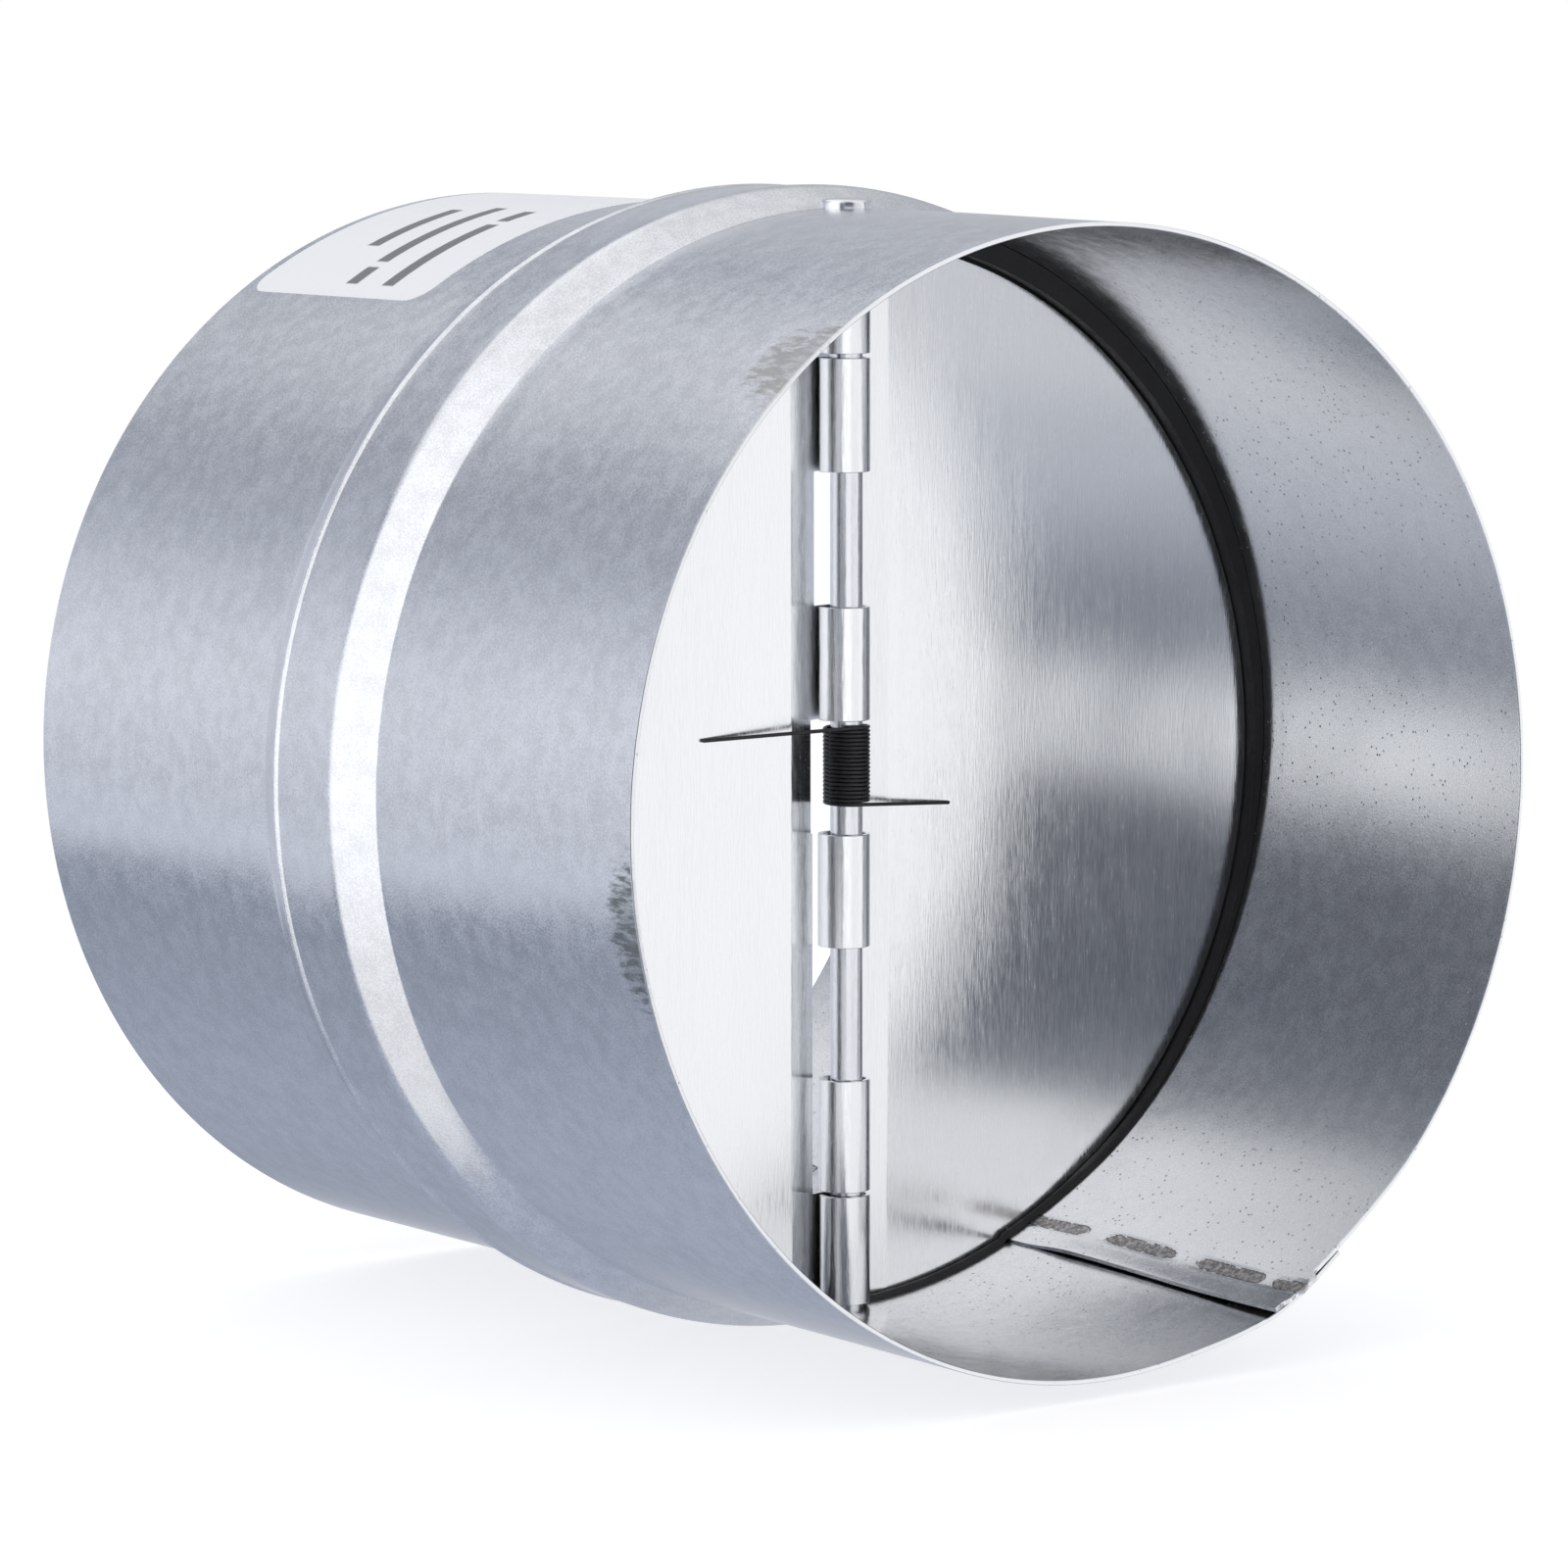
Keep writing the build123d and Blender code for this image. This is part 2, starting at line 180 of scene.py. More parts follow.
def strip_grid(strip_deg):
    """Rolled strip: at each angle the bead line and a copy of it one sheet further in, joined over
    both rims. Under its own other end the strip sinks and thins, and its edge curls in. Towards the
    outlet the radius takes on the rim's error and the lap is held in. Returns radius, y and side
    of each point, where side is 0 outside and 1 inside."""
    outer_line = rounded_line(BEAD_LINE, BEND_RADII, ARC_STEP, RUN_STEP)
    steps = np.gradient(outer_line, axis=0)
    steps /= np.linalg.norm(steps, axis=1, keepdims=True)
    line_out = np.stack([steps[:, 1], -steps[:, 0]], axis=1)
    under = (1.0 - smooth_step(LAP_COVER_DEG, LAP_BLEND_DEG, strip_deg))[:, None]
    before_blades = 1.0 - smooth_step(*LAP_CURL_END_Y, outer_line[None, :, 1])
    skin = SHEET - LAP_THIN * under * (1.0 - before_blades)
    at_edge = (1.0 - smooth_step(LAP_INNER_DEG, LAP_INNER_DEG + LAP_CURL_DEG, strip_deg))[:, None]
    curl = LAP_CURL * at_edge * before_blades
    faces = []
    for layer in (0.0, 1.0):
        sunk = LAP_DROP * under + curl + skin * layer
        face_r = outer_line[None, :, 0] - line_out[None, :, 0] * sunk
        face_y = outer_line[None, :, 1] - line_out[None, :, 1] * sunk
        face_y[:, 0] += EDGE_BREAK
        face_y[:, -1] -= EDGE_BREAK
        faces.append((face_r, face_y))
    (outer_r, outer_y), (inner_r, inner_y) = faces
    across = np.array([EDGE_PARTS])
    rear_r = outer_r[:, -1:] + (inner_r[:, -1:] - outer_r[:, -1:]) * across
    front_r = inner_r[:, :1] + (outer_r[:, :1] - inner_r[:, :1]) * across
    strip_r = np.concatenate([outer_r, rear_r, inner_r[:, ::-1], front_r], axis=1)
    strip_y = np.concatenate([outer_y, np.full_like(rear_r, REAR_Y), inner_y[:, ::-1],
                              np.zeros_like(front_r)], axis=1)
    line_count = len(outer_line)
    side = np.concatenate([np.zeros(line_count), [0.0, 0.5, 1.0], np.ones(line_count), [1.0, 0.5, 0.0]])
    deg = np.repeat(strip_deg[:, None], strip_r.shape[1], axis=1)
    strip_r = strip_r + rim_error(deg) * (1.0 - smooth_step(*RIM_ERROR_Y, strip_y))
    held_in = (1.0 - smooth_step(*LAP_HELD_DEG, deg)) * (1.0 - smooth_step(*LAP_HELD_Y, strip_y))
    return strip_r - LAP_HELD_IN * held_in, strip_y, side


def weld_share(strip_deg, strip_r, strip_y, side):
    """How deep in a weld mark each point lies, from 0 to 1: by its distance from a short line along
    the tube, eased out over the mark's width, and only on the inside face."""
    arc_from_weld = (strip_deg[:, None] - WELD_DEG) * math.pi / 180.0 * SPIGOT_R
    weld = np.zeros_like(strip_r)
    for weld_y in WELD_Y:
        along = np.maximum(np.abs(strip_y - weld_y) - (WELD_HALF_LENGTH - WELD_HALF_WIDTH), 0.0)
        reach = np.hypot(along, arc_from_weld)
        weld = np.maximum(weld, 1.0 - smooth_step(0.0, WELD_SPREAD * WELD_HALF_WIDTH, reach))
    return weld * side[None, :]


def torn_pull(strip_deg):
    """How far the outlet's edge is pulled forward at each angle: a ragged tongue at the inner end
    of the strip, and a trace of the same teeth cut back into the rest of the rim."""
    tooth_deg = np.arange(*TOOTH_SPAN_DEG, TOOTH_STEP_DEG)
    ragged = np.random.default_rng(TORN_SEED)
    tooth = np.interp(strip_deg, tooth_deg, ragged.uniform(0.0, 1.0, len(tooth_deg)))
    proud = 1.0 - smooth_step(TONGUE_DEG - TONGUE_EDGE_DEG, TONGUE_DEG, strip_deg - LAP_INNER_DEG)
    tongue = TONGUE_OUT * proud * (1.0 - TONGUE_TORN + TONGUE_TORN * tooth)
    return (tongue - RIM_TORN * tooth * (1.0 - proud))[:, None]


fine_to, fine_from = LAP_FINE_DEG
strip_deg = np.concatenate([np.arange(LAP_INNER_DEG, fine_to, LAP_STEP_DEG),
                            np.arange(fine_to, fine_from, ROUND_STEP_DEG),
                            np.arange(fine_from, LAP_OUTER_DEG + PAST_END_DEG, LAP_STEP_DEG)])
strip_r, strip_y, strip_side = strip_grid(strip_deg)
weld = weld_share(strip_deg, strip_r, strip_y, strip_side)
strip_r = strip_r + WELD_DEPTH * smooth_step(*WELD_EDGE, weld)
strip_y = strip_y - torn_pull(strip_deg) * (1.0 - smooth_step(0.0, PULL_REACH, strip_y))
strip_turn = np.radians(strip_deg)[:, None]
strip = np.stack([strip_r * np.cos(strip_turn), strip_y, strip_r * np.sin(strip_turn)], axis=-1)
casing = grid_piece("casing_strip", strip[::-1], wrap_v=True, caps=True)
shade_smooth(casing, sharp_deg=38.0)
point_values(casing, "weld", weld[::-1])
point_values(casing, "inside", np.repeat(strip_side[None, :], len(strip_deg), axis=0))
# Nearness to either rim, stored for the painted highlight along both rims.
rim_near = np.minimum(strip_y, REAR_Y - strip_y)
point_values(casing, "rim", (1.0 - smooth_step(0.0, RIM_SHEEN_REACH, rim_near))[::-1])


def new_finish(name):
    """A node material with one Principled shader: the material, its tree and the shader."""
    finish = bpy.data.materials.new(name)
    finish.use_nodes = True
    return finish, finish.node_tree, finish.node_tree.nodes["Principled BSDF"]


def add_node(tree, kind, values=None, **settings):
    """Add a node with its settings, and give its inputs numbers, colours or links."""
    made = tree.nodes.new(kind)
    for key, value in settings.items():
        setattr(made, key, value)
    for key, value in (values or {}).items():
        if isinstance(value, bpy.types.NodeSocket):
            tree.links.new(value, made.inputs[key])
        else:
            made.inputs[key].default_value = value
    return made


def object_place(tree):
    """The place on the piece, in its own coordinates."""
    return add_node(tree, "ShaderNodeTexCoord").outputs["Object"]


def point_value(tree, name):
    """A number that is stored at the vertices of the mesh."""
    return add_node(tree, "ShaderNodeAttribute", attribute_name=name).outputs["Fac"]


def math_node(tree, operation, *values):
    """One Math node; its values are numbers or sockets. Returns its result."""
    return add_node(tree, "ShaderNodeMath", dict(enumerate(values)), operation=operation).outputs[0]


def times(tree, first, second):
    """Product of two numbers or sockets."""
    return math_node(tree, "MULTIPLY", first, second)


def swing(tree, value, size):
    """Turn a value about a half into one about zero, of a given size."""
    return times(tree, math_node(tree, "SUBTRACT", value, 0.5), size)


def ease(tree, value, low, high, to_low=0.0, to_high=1.0):
    """Map a value from low..high to another range with a smooth step."""
    made = add_node(tree, "ShaderNodeMapRange", {"Value": value, "From Min": low, "From Max": high,
                                                 "To Min": to_low, "To Max": to_high},
                    interpolation_type="SMOOTHSTEP")
    return made.outputs["Result"]


def mix_colour(tree, share, first, second):
    """Blend two colours by a share from 0 to 1."""
    made = add_node(tree, "ShaderNodeMix", data_type="RGBA")
    for key, value in ((0, share), (6, first), (7, second)):
        if isinstance(value, bpy.types.NodeSocket):
            tree.links.new(value, made.inputs[key])
        else:
            made.inputs[key].default_value = value
    return made.outputs[2]


def noise(tree, place, scale, detail=2.0, rough=0.5):
    """Noise value of one scale at a place."""
    made = add_node(tree, "ShaderNodeTexNoise", {"Vector": place, "Scale": scale, "Detail": detail,
                                                 "Roughness": rough})
    return made.outputs["Fac"]


def stretch(tree, place, scale):
    """Scale a place along each axis, so that a noise read there runs in streaks."""
    return add_node(tree, "ShaderNodeMapping", {"Vector": place, "Scale": scale}).outputs["Vector"]


def new_group(name, inputs, outputs):
    """Empty shader node group with named float, colour or vector sockets."""
    group = bpy.data.node_groups.new(name, "ShaderNodeTree")
    for label, kind, value in inputs:
        socket = group.interface.new_socket(label, in_out="INPUT", socket_type=kind)
        if value is not None:
            socket.default_value = value
    for label, kind in outputs:
        group.interface.new_socket(label, in_out="OUTPUT", socket_type=kind)
    return group, group.nodes.new("NodeGroupInput"), group.nodes.new("NodeGroupOutput")


def build_grain():
    """Metal grain: fine speckle over soft clouds, as a value about a half and as a bumped normal."""
    group, given, out = new_group(
        "metal_grain",
        [("Place", "NodeSocketVector", None), ("Speckle Scale", "NodeSocketFloat", 4000.0),
         ("Cloud Scale", "NodeSocketFloat", 200.0), ("Cloud Share", "NodeSocketFloat", 0.4),
         ("Depth", "NodeSocketFloat", 0.2)],
        [("Value", "NodeSocketFloat"), ("Normal", "NodeSocketVector")])
    speckle = noise(group, given.outputs["Place"], given.outputs["Speckle Scale"], 2.0, 0.55)
    cloud = noise(group, given.outputs["Place"], given.outputs["Cloud Scale"], 3.0, 0.6)
    mixed = add_node(group, "ShaderNodeMix", {0: given.outputs["Cloud Share"], 2: speckle, 3: cloud})
    bump = add_node(group, "ShaderNodeBump", {"Strength": given.outputs["Depth"], "Distance": 0.00004,
                                              "Height": speckle})
    group.links.new(mixed.outputs[0], out.inputs["Value"])
    group.links.new(bump.outputs["Normal"], out.inputs["Normal"])
    return group


metal_grain = build_grain()


def add_grain(tree, place, speckle_scale, cloud_scale, cloud_share, depth):
    """Place the metal grain in a material, with values of its own."""
    return add_node(tree, "ShaderNodeGroup",
                    {"Place": place, "Speckle Scale": speckle_scale, "Cloud Scale": cloud_scale,
                     "Cloud Share": cloud_share, "Depth": depth}, node_tree=metal_grain)


SMUDGES = [(5.0, -8.5, 8.0), (8.5, 50.5, 6.0)]


def smudge(tree, axes, strokes, outside, from_rim, turn_deg, half_deg):
    """Broken smudge at the outlet's edge: half an oval of a reach in millimetres and a half width
    in degrees, about an angle from the left side upwards, on the outside face."""
    round_turn = math_node(tree, "ARCTAN2", axes.outputs["Z"], times(tree, axes.outputs["X"], -1.0))
    near = math_node(tree, "DIVIDE", axes.outputs["Y"], from_rim * MM)
    off = math_node(tree, "DIVIDE", math_node(tree, "SUBTRACT", round_turn, math.radians(turn_deg)),
                    math.radians(half_deg))
    near_part, off_part = (math_node(tree, "POWER", math_node(tree, "ABSOLUTE", part), 2.0)
                           for part in (near, off))
    oval = math_node(tree, "ADD", near_part, off_part)
    broken = math_node(tree, "ADD", oval, swing(tree, strokes, 2.6))
    mask = times(tree, ease(tree, broken, 0.25, 1.15, 1.0, 0.0), ease(tree, strokes, 0.42, 0.62, 1.0, 0.5))
    return times(tree, mask, outside)


def zinc_finish():
    """Rolled zinc: grain between a dull and a bright tone, pits on the inside face, burnt weld marks
    with a torn lip in painted shade and painted highlight, two smudges of grit at the outlet and a
    painted highlight along both rims."""
    finish, tree, shader = new_finish("rolled_zinc_steel")
    place = object_place(tree)
    grain = add_grain(tree, place, 4200.0, 420.0, 0.40, 0.30)
    weld_mask = point_value(tree, "weld")
    inside = point_value(tree, "inside")
    outside = math_node(tree, "SUBTRACT", 1.0, inside)
    axes = add_node(tree, "ShaderNodeSeparateXYZ", {0: place})

    dull = mix_colour(tree, inside, (0.65, 0.662, 0.69, 1.0), (0.69, 0.695, 0.705, 1.0))
    bright = mix_colour(tree, inside, (0.81, 0.825, 0.86, 1.0), (0.81, 0.815, 0.83, 1.0))
    tone = mix_colour(tree, ease(tree, grain.outputs["Value"], 0.36, 0.64), dull, bright)

    cells = add_node(tree, "ShaderNodeTexVoronoi", {"Vector": place, "Scale": 1150.0, "Randomness": 1.0})
    pit_core = ease(tree, cells.outputs["Distance"], 0.05, 0.17, 1.0, 0.0)
    pit_gate = ease(tree, noise(tree, place, 800.0, 1.0), 0.38, 0.60)
    pits = times(tree, times(tree, pit_core, pit_gate), inside)
    tone = mix_colour(tree, times(tree, pits, 0.72), tone, (0.16, 0.17, 0.20, 1.0))

    torn = noise(tree, place, 1900.0, 4.0, 0.7)
    weld_edge = math_node(tree, "ADD", weld_mask, swing(tree, torn, 0.40))
    weld_area = ease(tree, weld_edge, 0.64, 0.70)
    weld_lip = times(tree, ease(tree, weld_edge, 0.50, 0.57), ease(tree, weld_edge, 0.64, 0.70, 1.0, 0.0))
    weld_burn = mix_colour(tree, ease(tree, torn, 0.42, 0.60), (0.24, 0.21, 0.20, 1.0),
                           (0.66, 0.63, 0.62, 1.0))
    tone = mix_colour(tree, times(tree, weld_area, 0.9), tone, weld_burn)
    # Painted shade and painted highlight: the torn lip round each weld mark is coloured in patches of
    # near-black and near-white, standing for the shade and the glints along its edge.
    weld_rag = ease(tree, noise(tree, place, 900.0, 1.0), 0.56, 0.62)
    lip_shade_and_glint = mix_colour(tree, weld_rag, (0.07, 0.06, 0.06, 1.0), (0.95, 0.95, 0.96, 1.0))
    tone = mix_colour(tree, times(tree, weld_lip, 0.85), tone, lip_shade_and_glint)

    strokes = noise(tree, stretch(tree, place, (1.0, 0.25, 1.0)), 1500.0, 3.0, 0.65)
    low_smudge, high_smudge = (smudge(tree, axes, strokes, outside, *spot) for spot in SMUDGES)
    tone = mix_colour(tree, times(tree, low_smudge, 0.85), tone, (0.12, 0.14, 0.14, 1.0))
    tone = mix_colour(tree, times(tree, high_smudge, 0.62), tone, (0.30, 0.29, 0.25, 1.0))
    # Painted highlight: both rims are lightened towards near-white, standing for the light caught on the
    # sheet's edge.
    rim_sheen = ease(tree, point_value(tree, "rim"), 0.80, 0.98)
    tone = mix_colour(tree, times(tree, rim_sheen, 0.6), tone, (0.90, 0.91, 0.93, 1.0))
    tree.links.new(tone, shader.inputs["Base Color"])
    shader.inputs["Metallic"].default_value = 1.0

    rough = ease(tree, grain.outputs["Value"], 0.30, 0.70, 0.13, 0.26)
    rough = math_node(tree, "ADD", rough, times(tree, weld_area, 0.22))
    rough = math_node(tree, "ADD", rough, times(tree, low_smudge, 0.20))
    tree.links.new(rough, shader.inputs["Roughness"])
    weld_height = times(tree, weld_area, times(tree, torn, 1.6))
    height = math_node(tree, "SUBTRACT", math_node(tree, "ADD", weld_height, weld_lip), pits)
    bump = add_node(tree, "ShaderNodeBump", {"Strength": 0.7, "Distance": 0.00014, "Height": height,
                                             "Normal": grain.outputs["Normal"]})
    tree.links.new(bump.outputs["Normal"], shader.inputs["Normal"])
    return finish


casing.data.materials.append(zinc_finish())
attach(casing, "frame")
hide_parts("casing")


# Seal: a ring of soft black rubber lying in the bead's channel, against which the blades close.
# The solid keeps its shape. Two thin strips in the same black run round the bottom of the tube,
# one from each side, up to the hinge rod. They are painted shade: dark sheets that stand for the
# shadow in the gap between the blades' edges and the wall.
# Strips of painted shade: dark sheets round the bottom of the tube, in the gap under the blades' edges.
SHADE_STRIP_SPANS = {"right": (-43.0, -87.8), "left": (-92.2, -137.0)}
SHADE_STRIP_POINTS = 60
SHADE_STRIP_Y = (44.5, 46.2)
SHADE_STRIP_THIN = 0.42
SHADE_STRIP_THICK = 0.6
SHADE_STRIP_PULL = 0.7
SHADE_STRIP_THICK_DOWN = (0.75, 0.95)
SHADE_STRIP_PULL_DOWN = (0.77, 0.90)
SHADE_STRIP_ROUND = 0.25
SHADE_STRIP_CORNER = 0.2
SHADE_STRIP_GAP = 0.01
SHADE_STRIP_LAP_STEP = 0.35


def plain_finish(name, stretched, grain_values, tones, tone_range, rough_range, metallic):
    """A finish of grain alone: the grain at a stretched place sets the tone between two colours
    and the roughness, and bumps the normal. Returns the material, its tree, shader and grain."""
    finish, tree, shader = new_finish(name)
    place = object_place(tree)
    if stretched:
        place = stretch(tree, place, (1.0, 1.0, stretched))
    grain = add_grain(tree, place, *grain_values)
    value = grain.outputs["Value"]
    share = ease(tree, value, *tone_range) if tone_range else value
    tree.links.new(mix_colour(tree, share, *tones), shader.inputs["Base Color"])
    tree.links.new(ease(tree, value, 0.3, 0.7, *rough_range), shader.inputs["Roughness"])
    tree.links.new(grain.outputs["Normal"], shader.inputs["Normal"])
    shader.inputs["Metallic"].default_value = metallic
    return finish, tree, shader, grain


def dress(name, finish):
    """Give a node of the solids a finish in every material slot."""
    node = bpy.data.objects[name]
    if not node.material_slots:
        node.data.materials.append(finish)
    for slot in node.material_slots:
        slot.material = finish


def shade_strip_grid(from_deg, to_deg):
    """Painted shade: a dark band on the casing's wall that stands for the shadow in the gap under the
    blades' edges, six points round its section, carried from one angle to another: towards the
    bottom of the tube it grows thicker and its front edge draws back."""
    deg = np.linspace(from_deg, to_deg, SHADE_STRIP_POINTS)
    turn = np.radians(deg)
    lapped = (1.0 - smooth_step(LAP_COVER_DEG, LAP_BLEND_DEG, deg)) * (deg > LAP_INNER_DEG)
    wall_r = SPIGOT_R - SHEET - SHADE_STRIP_LAP_STEP * lapped - SHADE_STRIP_GAP
    down = np.abs(np.sin(turn))
    crest_r = wall_r - SHADE_STRIP_THIN - (SHADE_STRIP_THICK - SHADE_STRIP_THIN) * smooth_step(*SHADE_STRIP_THICK_DOWN, down)
    soft = SHADE_STRIP_ROUND * (wall_r - crest_r)
    radius = np.stack([wall_r, crest_r + soft, crest_r, crest_r, crest_r + soft, wall_r], axis=1)
    front = SHADE_STRIP_Y[0] + SHADE_STRIP_PULL * smooth_step(*SHADE_STRIP_PULL_DOWN, down)
    back = np.full_like(front, SHADE_STRIP_Y[1])
    along = np.stack([front, front, front + SHADE_STRIP_CORNER, back - SHADE_STRIP_CORNER, back, back], axis=1)
    return np.stack([radius * np.cos(turn)[:, None], along, radius * np.sin(turn)[:, None]], axis=-1)


# One black material for the real seal ring and for the strips of painted shade.
rubber_and_gap_shade = plain_finish("black_rubber_and_gap_shade", None, (2600.0, 120.0, 0.5, 0.5),
                      ((0.006, 0.006, 0.007, 1.0), (0.020, 0.020, 0.022, 1.0)), None, (0.5, 0.72), 0.0)[0]
dress("seal_ring", rubber_and_gap_shade)
# Painted shade: these strips are dark sheets that stand for the shadow in the gap between the blades and
# the wall.
for side, span in SHADE_STRIP_SPANS.items():
    shade_strip = grid_piece("gap_shade_strip_" + side, shade_strip_grid(*span), wrap_v=True, caps=True)
    shade_smooth(shade_strip, sharp_deg=60.0)
    shade_strip.data.materials.append(rubber_and_gap_shade)
    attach(shade_strip, "frame")


# Blades: two half discs of soft bright aluminium sheet, the same stamping turned half a turn.
# Each has three knuckles rolled round the hinge rod, and a crease beside them from which the
# sheet slopes up to the roll. The rolling mill left fine upright streaks.
BLADE_T = 0.5
BLADE_R = 59.65
BLADE_SHIFT = 0.4
BLADE_DROP = -1.35
BLADE_MID_Y = 46.55
ROLL_Y = 45.45
ROLL_R = 2.68
CREASE_DEG = 13.7
CREASE_R = 1.2
CREASE_STEPS = 6
ROLL_END_DEG = -200.0
ROLL_STEPS = 56
EDGE_OWN = 2.9
EDGE_OTHER = 3.2
EDGE_SPRING = 3.5
CHAMFER = 0.06
KNUCKLE_SPANS = [(34.15, 46.8), (6.4, 19.1), (-59.6, -47.3)]
KNUCKLE_SAG = 0.02
FAR_X = -70.0
ROW_STEP_DEG = 1.6
ROW_END_DEG = 88.0
CUT_HALF = 0.01
TOP_IN = 0.004
FLAT_PARTS = [*np.linspace(0.0, 0.985, 25), 0.996]
SLOPE_PARTS = [0.04, 0.25, 0.5, 0.75, 1.0]
lean_end = math.radians(CREASE_DEG)
root_x = -ROLL_R * math.sin(lean_end)
root_y = ROLL_Y + ROLL_R * math.cos(lean_end)
crease_x = root_x - (root_y - BLADE_MID_Y) / math.tan(lean_end) - CREASE_R * math.tan(lean_end / 2.0)
crease_turn = np.linspace(0.0, lean_end, CREASE_STEPS)
bend_x = np.concatenate([[FAR_X], crease_x + CREASE_R * np.sin(crease_turn), [root_x]])
bend_y = np.concatenate([[BLADE_MID_Y], BLADE_MID_Y + CREASE_R * (1.0 - np.cos(crease_turn)), [root_y]])
bend_lean = np.concatenate([[0.0], crease_turn, [lean_end]])


def leaf_grid():
    """Half disc that is flat to a crease beside the hinge: from the crease a straight slope rises
    until it meets the roll, or stops at the cut edge for that height, carried up along the blade."""
    (k2_low, k2_high), (k3_low, k3_high), (_, k6_high) = KNUCKLE_SPANS
    top = math.sqrt(BLADE_R ** 2 - (EDGE_OTHER - BLADE_SHIFT) ** 2) - TOP_IN
    cuts = np.array([k2_low, k2_high, k3_low, k3_high, -k3_low, k6_high])
    rows = BLADE_R * np.sin(np.radians(np.arange(-ROW_END_DEG, ROW_END_DEG + 0.1, ROW_STEP_DEG)))
    rows = rows[np.abs(rows) < top - 2.0 * CUT_HALF]
    rows = np.sort(np.concatenate([rows, cuts - CUT_HALF, cuts + CUT_HALF, [-top, top]]))
    stop = np.full_like(rows, -EDGE_OTHER)
    stop = np.where((rows > k3_high) & (rows < k2_low), -EDGE_OWN, stop)
    stop = np.where((rows > -k3_low) & (rows < k3_low), -EDGE_SPRING, stop)
    for low, high in KNUCKLE_SPANS:
        stop = np.where((rows > low) & (rows < high), root_x, stop)
    rim = -BLADE_SHIFT - np.sqrt(np.maximum(BLADE_R ** 2 - rows ** 2, 0.0))
    rim_in = -BLADE_SHIFT - np.sqrt(np.maximum((BLADE_R - CHAMFER) ** 2 - rows ** 2, 0.0))
    flat_part = np.array(FLAT_PARTS)
    flat_x = np.minimum(rim_in, crease_x)[:, None] * (1.0 - flat_part) + crease_x * flat_part
    arc_x = np.repeat(bend_x[None, 1:-1], len(rows), axis=0)
    slope_part = np.array(SLOPE_PARTS)
    slope_x = bend_x[-2] * (1.0 - slope_part) + stop[:, None] * slope_part
    mid_x = np.maximum(np.concatenate([flat_x, arc_x, slope_x], axis=1), rim_in[:, None])
    mid_y = np.interp(mid_x, bend_x, bend_y)
    lean = np.interp(mid_x, bend_x, bend_lean)
    half = BLADE_T / 2.0
    front = np.stack([mid_x + half * np.sin(lean), mid_y - half * np.cos(lean)], axis=-1)
    back = np.stack([mid_x - half * np.sin(lean), mid_y + half * np.cos(lean)], axis=-1)
    rim_mid = np.interp(rim, bend_x, bend_y)
    outer_back = np.stack([rim, rim_mid + half - CHAMFER], axis=-1)
    outer_front = np.stack([rim, rim_mid - half + CHAMFER], axis=-1)
    loop = np.concatenate([front, back[:, ::-1], outer_back[:, None], outer_front[:, None]], axis=1)
    height = np.repeat(rows[:, None], loop.shape[1], axis=1)
    return np.stack([loop[..., 0], loop[..., 1], height], axis=-1)


def knuckle_grid(low, high):
    """Sheet rolled round the rod: an open ring between two radii, carried up along the hinge."""
    turn = np.radians(np.linspace(90.0 + CREASE_DEG, ROLL_END_DEG, ROLL_STEPS))
    rows = np.array([low, low, low + CHAMFER, 0.75 * low + 0.25 * high, 0.5 * (low + high),
                     0.25 * low + 0.75 * high, high - CHAMFER, high, high])
    inset = np.array([BLADE_T / 2.0, CHAMFER, 0.0, 0.0, 0.0, 0.0, 0.0, CHAMFER, BLADE_T / 2.0])
    half = BLADE_T / 2.0 - inset[:, None]
    bowed = np.sin(np.linspace(0.0, math.pi, len(rows)))[:, None]
    sag = KNUCKLE_SAG * np.sin(3.0 * turn + low)[None, :] * bowed
    outer = ROLL_R + half + sag
    inner = ROLL_R - half + sag
    reach = np.concatenate([inner, outer[:, ::-1]], axis=1)
    way = np.concatenate([turn, turn[::-1]])[None, :]
    height = np.repeat(rows[:, None], reach.shape[1], axis=1)
    return np.stack([reach * np.cos(way), ROLL_Y + reach * np.sin(way), height], axis=-1)


def join_grids(name, grids, turned):
    """One mesh of several closed grids; a turned copy is the same stamping after half a turn about Y."""
    corners = []
    faces = []
    start = 0
    for grid in grids:
        rows, cols = grid.shape[:2]
        index = start + np.arange(rows * cols).reshape(rows, cols)
        here = index[:-1]
        there = index[1:]
        quads = np.stack([here, np.roll(here, -1, axis=1), np.roll(there, -1, axis=1), there], axis=-1)
        faces.extend(quads.reshape(-1, 4).tolist())
        faces.append(index[0][::-1].tolist())
        faces.append(index[-1].tolist())
        corners.append(grid.reshape(-1, 3))
        start += rows * cols
    points = np.concatenate(corners)
    if turned:
        points = points * np.array([-1.0, 1.0, -1.0])
    return new_piece(name, points + np.array([0.0, 0.0, BLADE_DROP]), faces)


